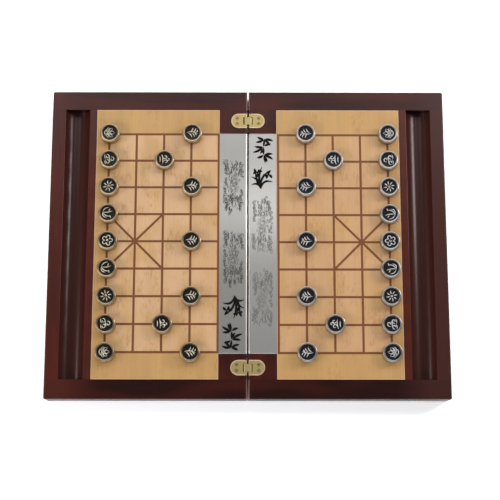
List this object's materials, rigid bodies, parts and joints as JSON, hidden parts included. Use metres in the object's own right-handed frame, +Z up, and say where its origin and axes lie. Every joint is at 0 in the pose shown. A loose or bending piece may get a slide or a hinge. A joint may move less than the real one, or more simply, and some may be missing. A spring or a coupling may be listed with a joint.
{
  "type": "folding board game case",
  "caption": "Folding wooden xiangqi case lying open flat as a board, with round metal men on the grid, a storage trough along each end, metal river strips and double-pivot flush hinges.",
  "frame": {"origin": "middle of the fold on the surface that the open case stands on", "axes": "+X across the fold towards the right half, +Y along the fold to the far side, +Z up"},
  "size_m": [0.462, 0.3634, 0.0361],
  "materials": {
    "lacquered_wood": "semi-gloss dark mahogany lacquer",
    "lacquered_plywood": "satin dark lacquer",
    "printed_maple_veneer": "satin varnish over printed grid",
    "raw_pine": "sawn",
    "raw_beech": "sawn",
    "brushed_aluminium": "fine brushed",
    "brass": "satin",
    "brass_screw": "satin",
    "steel_pin": "ground",
    "champagne_alloy": "champagne plated rim, black enamel face",
    "silver_alloy": "silver plated rim, black enamel face"
  },
  "bodies": {
    "left_half": {"left_near_rail": "lacquered_wood", "left_far_rail": "lacquered_wood", "left_trough_rail": "lacquered_wood", "left_fold_rail": "lacquered_wood", "left_bottom_panel": "lacquered_plywood", "left_play_panel": "printed_maple_veneer", "left_batten": "raw_pine", "left_tenons": "raw_beech", "left_river_plate": "brushed_aluminium", "left_hinge_leaf_near": "brass", "left_hinge_leaf_far": "brass", "left_hinge_pins": "steel_pin", "left_hinge_screws": "brass_screw"},
    "right_half": {"right_near_rail": "lacquered_wood", "right_far_rail": "lacquered_wood", "right_trough_rail": "lacquered_wood", "right_fold_rail": "lacquered_wood", "right_bottom_panel": "lacquered_plywood", "right_play_panel": "printed_maple_veneer", "right_batten": "raw_pine", "right_tenons": "raw_beech", "right_river_plate": "brushed_aluminium", "right_hinge_leaf_near": "brass", "right_hinge_leaf_far": "brass", "right_hinge_pins": "steel_pin", "right_hinge_screws": "brass_screw"},
    "hinge_links": {"hinge_link_near": "brass", "hinge_link_far": "brass"},
    "left_general": {"left_general": "champagne_alloy"},
    "left_advisor_near": {"left_advisor_near": "champagne_alloy"},
    "left_advisor_far": {"left_advisor_far": "champagne_alloy"},
    "left_elephant_near": {"left_elephant_near": "champagne_alloy"},
    "left_elephant_far": {"left_elephant_far": "champagne_alloy"},
    "left_horse_near": {"left_horse_near": "champagne_alloy"},
    "left_horse_far": {"left_horse_far": "champagne_alloy"},
    "left_chariot_near": {"left_chariot_near": "champagne_alloy"},
    "left_chariot_far": {"left_chariot_far": "champagne_alloy"},
    "left_cannon_near": {"left_cannon_near": "champagne_alloy"},
    "left_cannon_far": {"left_cannon_far": "champagne_alloy"},
    "left_soldier_1": {"left_soldier_1": "champagne_alloy"},
    "left_soldier_2": {"left_soldier_2": "champagne_alloy"},
    "left_soldier_3": {"left_soldier_3": "champagne_alloy"},
    "left_soldier_4": {"left_soldier_4": "champagne_alloy"},
    "left_soldier_5": {"left_soldier_5": "champagne_alloy"},
    "right_general": {"right_general": "silver_alloy"},
    "right_advisor_near": {"right_advisor_near": "silver_alloy"},
    "right_advisor_far": {"right_advisor_far": "silver_alloy"},
    "right_elephant_near": {"right_elephant_near": "silver_alloy"},
    "right_elephant_far": {"right_elephant_far": "silver_alloy"},
    "right_horse_near": {"right_horse_near": "silver_alloy"},
    "right_horse_far": {"right_horse_far": "silver_alloy"},
    "right_chariot_near": {"right_chariot_near": "silver_alloy"},
    "right_chariot_far": {"right_chariot_far": "silver_alloy"},
    "right_cannon_near": {"right_cannon_near": "silver_alloy"},
    "right_cannon_far": {"right_cannon_far": "silver_alloy"},
    "right_soldier_1": {"right_soldier_1": "silver_alloy"},
    "right_soldier_2": {"right_soldier_2": "silver_alloy"},
    "right_soldier_3": {"right_soldier_3": "silver_alloy"},
    "right_soldier_4": {"right_soldier_4": "silver_alloy"},
    "right_soldier_5": {"right_soldier_5": "silver_alloy"}
  },
  "joints": [
    {"name": "left_pivots", "type": "hinge", "parent": "left_half", "child": "hinge_links", "pos_m": [-0.00275, 0, 0.0244], "axis": [0, 1, 0], "range_deg": [-79, 0]},
    {"name": "right_pivots", "type": "hinge", "parent": "hinge_links", "child": "right_half", "pos_m": [0.00275, 0, 0.0244], "axis": [0, 1, 0], "range_deg": [-79, 0]},
    {"name": "lift_left_general", "type": "slide", "parent": "left_half", "child": "left_general", "axis": [0, 0, 1], "range_m": [0, 0.03]},
    {"name": "lift_left_advisor_near", "type": "slide", "parent": "left_half", "child": "left_advisor_near", "axis": [0, 0, 1], "range_m": [0, 0.03]},
    {"name": "lift_left_advisor_far", "type": "slide", "parent": "left_half", "child": "left_advisor_far", "axis": [0, 0, 1], "range_m": [0, 0.03]},
    {"name": "lift_left_elephant_near", "type": "slide", "parent": "left_half", "child": "left_elephant_near", "axis": [0, 0, 1], "range_m": [0, 0.03]},
    {"name": "lift_left_elephant_far", "type": "slide", "parent": "left_half", "child": "left_elephant_far", "axis": [0, 0, 1], "range_m": [0, 0.03]},
    {"name": "lift_left_horse_near", "type": "slide", "parent": "left_half", "child": "left_horse_near", "axis": [0, 0, 1], "range_m": [0, 0.03]},
    {"name": "lift_left_horse_far", "type": "slide", "parent": "left_half", "child": "left_horse_far", "axis": [0, 0, 1], "range_m": [0, 0.03]},
    {"name": "lift_left_chariot_near", "type": "slide", "parent": "left_half", "child": "left_chariot_near", "axis": [0, 0, 1], "range_m": [0, 0.03]},
    {"name": "lift_left_chariot_far", "type": "slide", "parent": "left_half", "child": "left_chariot_far", "axis": [0, 0, 1], "range_m": [0, 0.03]},
    {"name": "lift_left_cannon_near", "type": "slide", "parent": "left_half", "child": "left_cannon_near", "axis": [0, 0, 1], "range_m": [0, 0.03]},
    {"name": "lift_left_cannon_far", "type": "slide", "parent": "left_half", "child": "left_cannon_far", "axis": [0, 0, 1], "range_m": [0, 0.03]},
    {"name": "lift_left_soldier_1", "type": "slide", "parent": "left_half", "child": "left_soldier_1", "axis": [0, 0, 1], "range_m": [0, 0.03]},
    {"name": "lift_left_soldier_2", "type": "slide", "parent": "left_half", "child": "left_soldier_2", "axis": [0, 0, 1], "range_m": [0, 0.03]},
    {"name": "lift_left_soldier_3", "type": "slide", "parent": "left_half", "child": "left_soldier_3", "axis": [0, 0, 1], "range_m": [0, 0.03]},
    {"name": "lift_left_soldier_4", "type": "slide", "parent": "left_half", "child": "left_soldier_4", "axis": [0, 0, 1], "range_m": [0, 0.03]},
    {"name": "lift_left_soldier_5", "type": "slide", "parent": "left_half", "child": "left_soldier_5", "axis": [0, 0, 1], "range_m": [0, 0.03]},
    {"name": "lift_right_general", "type": "slide", "parent": "right_half", "child": "right_general", "axis": [0, 0, 1], "range_m": [0, 0.03]},
    {"name": "lift_right_advisor_near", "type": "slide", "parent": "right_half", "child": "right_advisor_near", "axis": [0, 0, 1], "range_m": [0, 0.03]},
    {"name": "lift_right_advisor_far", "type": "slide", "parent": "right_half", "child": "right_advisor_far", "axis": [0, 0, 1], "range_m": [0, 0.03]},
    {"name": "lift_right_elephant_near", "type": "slide", "parent": "right_half", "child": "right_elephant_near", "axis": [0, 0, 1], "range_m": [0, 0.03]},
    {"name": "lift_right_elephant_far", "type": "slide", "parent": "right_half", "child": "right_elephant_far", "axis": [0, 0, 1], "range_m": [0, 0.03]},
    {"name": "lift_right_horse_near", "type": "slide", "parent": "right_half", "child": "right_horse_near", "axis": [0, 0, 1], "range_m": [0, 0.03]},
    {"name": "lift_right_horse_far", "type": "slide", "parent": "right_half", "child": "right_horse_far", "axis": [0, 0, 1], "range_m": [0, 0.03]},
    {"name": "lift_right_chariot_near", "type": "slide", "parent": "right_half", "child": "right_chariot_near", "axis": [0, 0, 1], "range_m": [0, 0.03]},
    {"name": "lift_right_chariot_far", "type": "slide", "parent": "right_half", "child": "right_chariot_far", "axis": [0, 0, 1], "range_m": [0, 0.03]},
    {"name": "lift_right_cannon_near", "type": "slide", "parent": "right_half", "child": "right_cannon_near", "axis": [0, 0, 1], "range_m": [0, 0.03]},
    {"name": "lift_right_cannon_far", "type": "slide", "parent": "right_half", "child": "right_cannon_far", "axis": [0, 0, 1], "range_m": [0, 0.03]},
    {"name": "lift_right_soldier_1", "type": "slide", "parent": "right_half", "child": "right_soldier_1", "axis": [0, 0, 1], "range_m": [0, 0.03]},
    {"name": "lift_right_soldier_2", "type": "slide", "parent": "right_half", "child": "right_soldier_2", "axis": [0, 0, 1], "range_m": [0, 0.03]},
    {"name": "lift_right_soldier_3", "type": "slide", "parent": "right_half", "child": "right_soldier_3", "axis": [0, 0, 1], "range_m": [0, 0.03]},
    {"name": "lift_right_soldier_4", "type": "slide", "parent": "right_half", "child": "right_soldier_4", "axis": [0, 0, 1], "range_m": [0, 0.03]},
    {"name": "lift_right_soldier_5", "type": "slide", "parent": "right_half", "child": "right_soldier_5", "axis": [0, 0, 1], "range_m": [0, 0.03]}
  ]
}
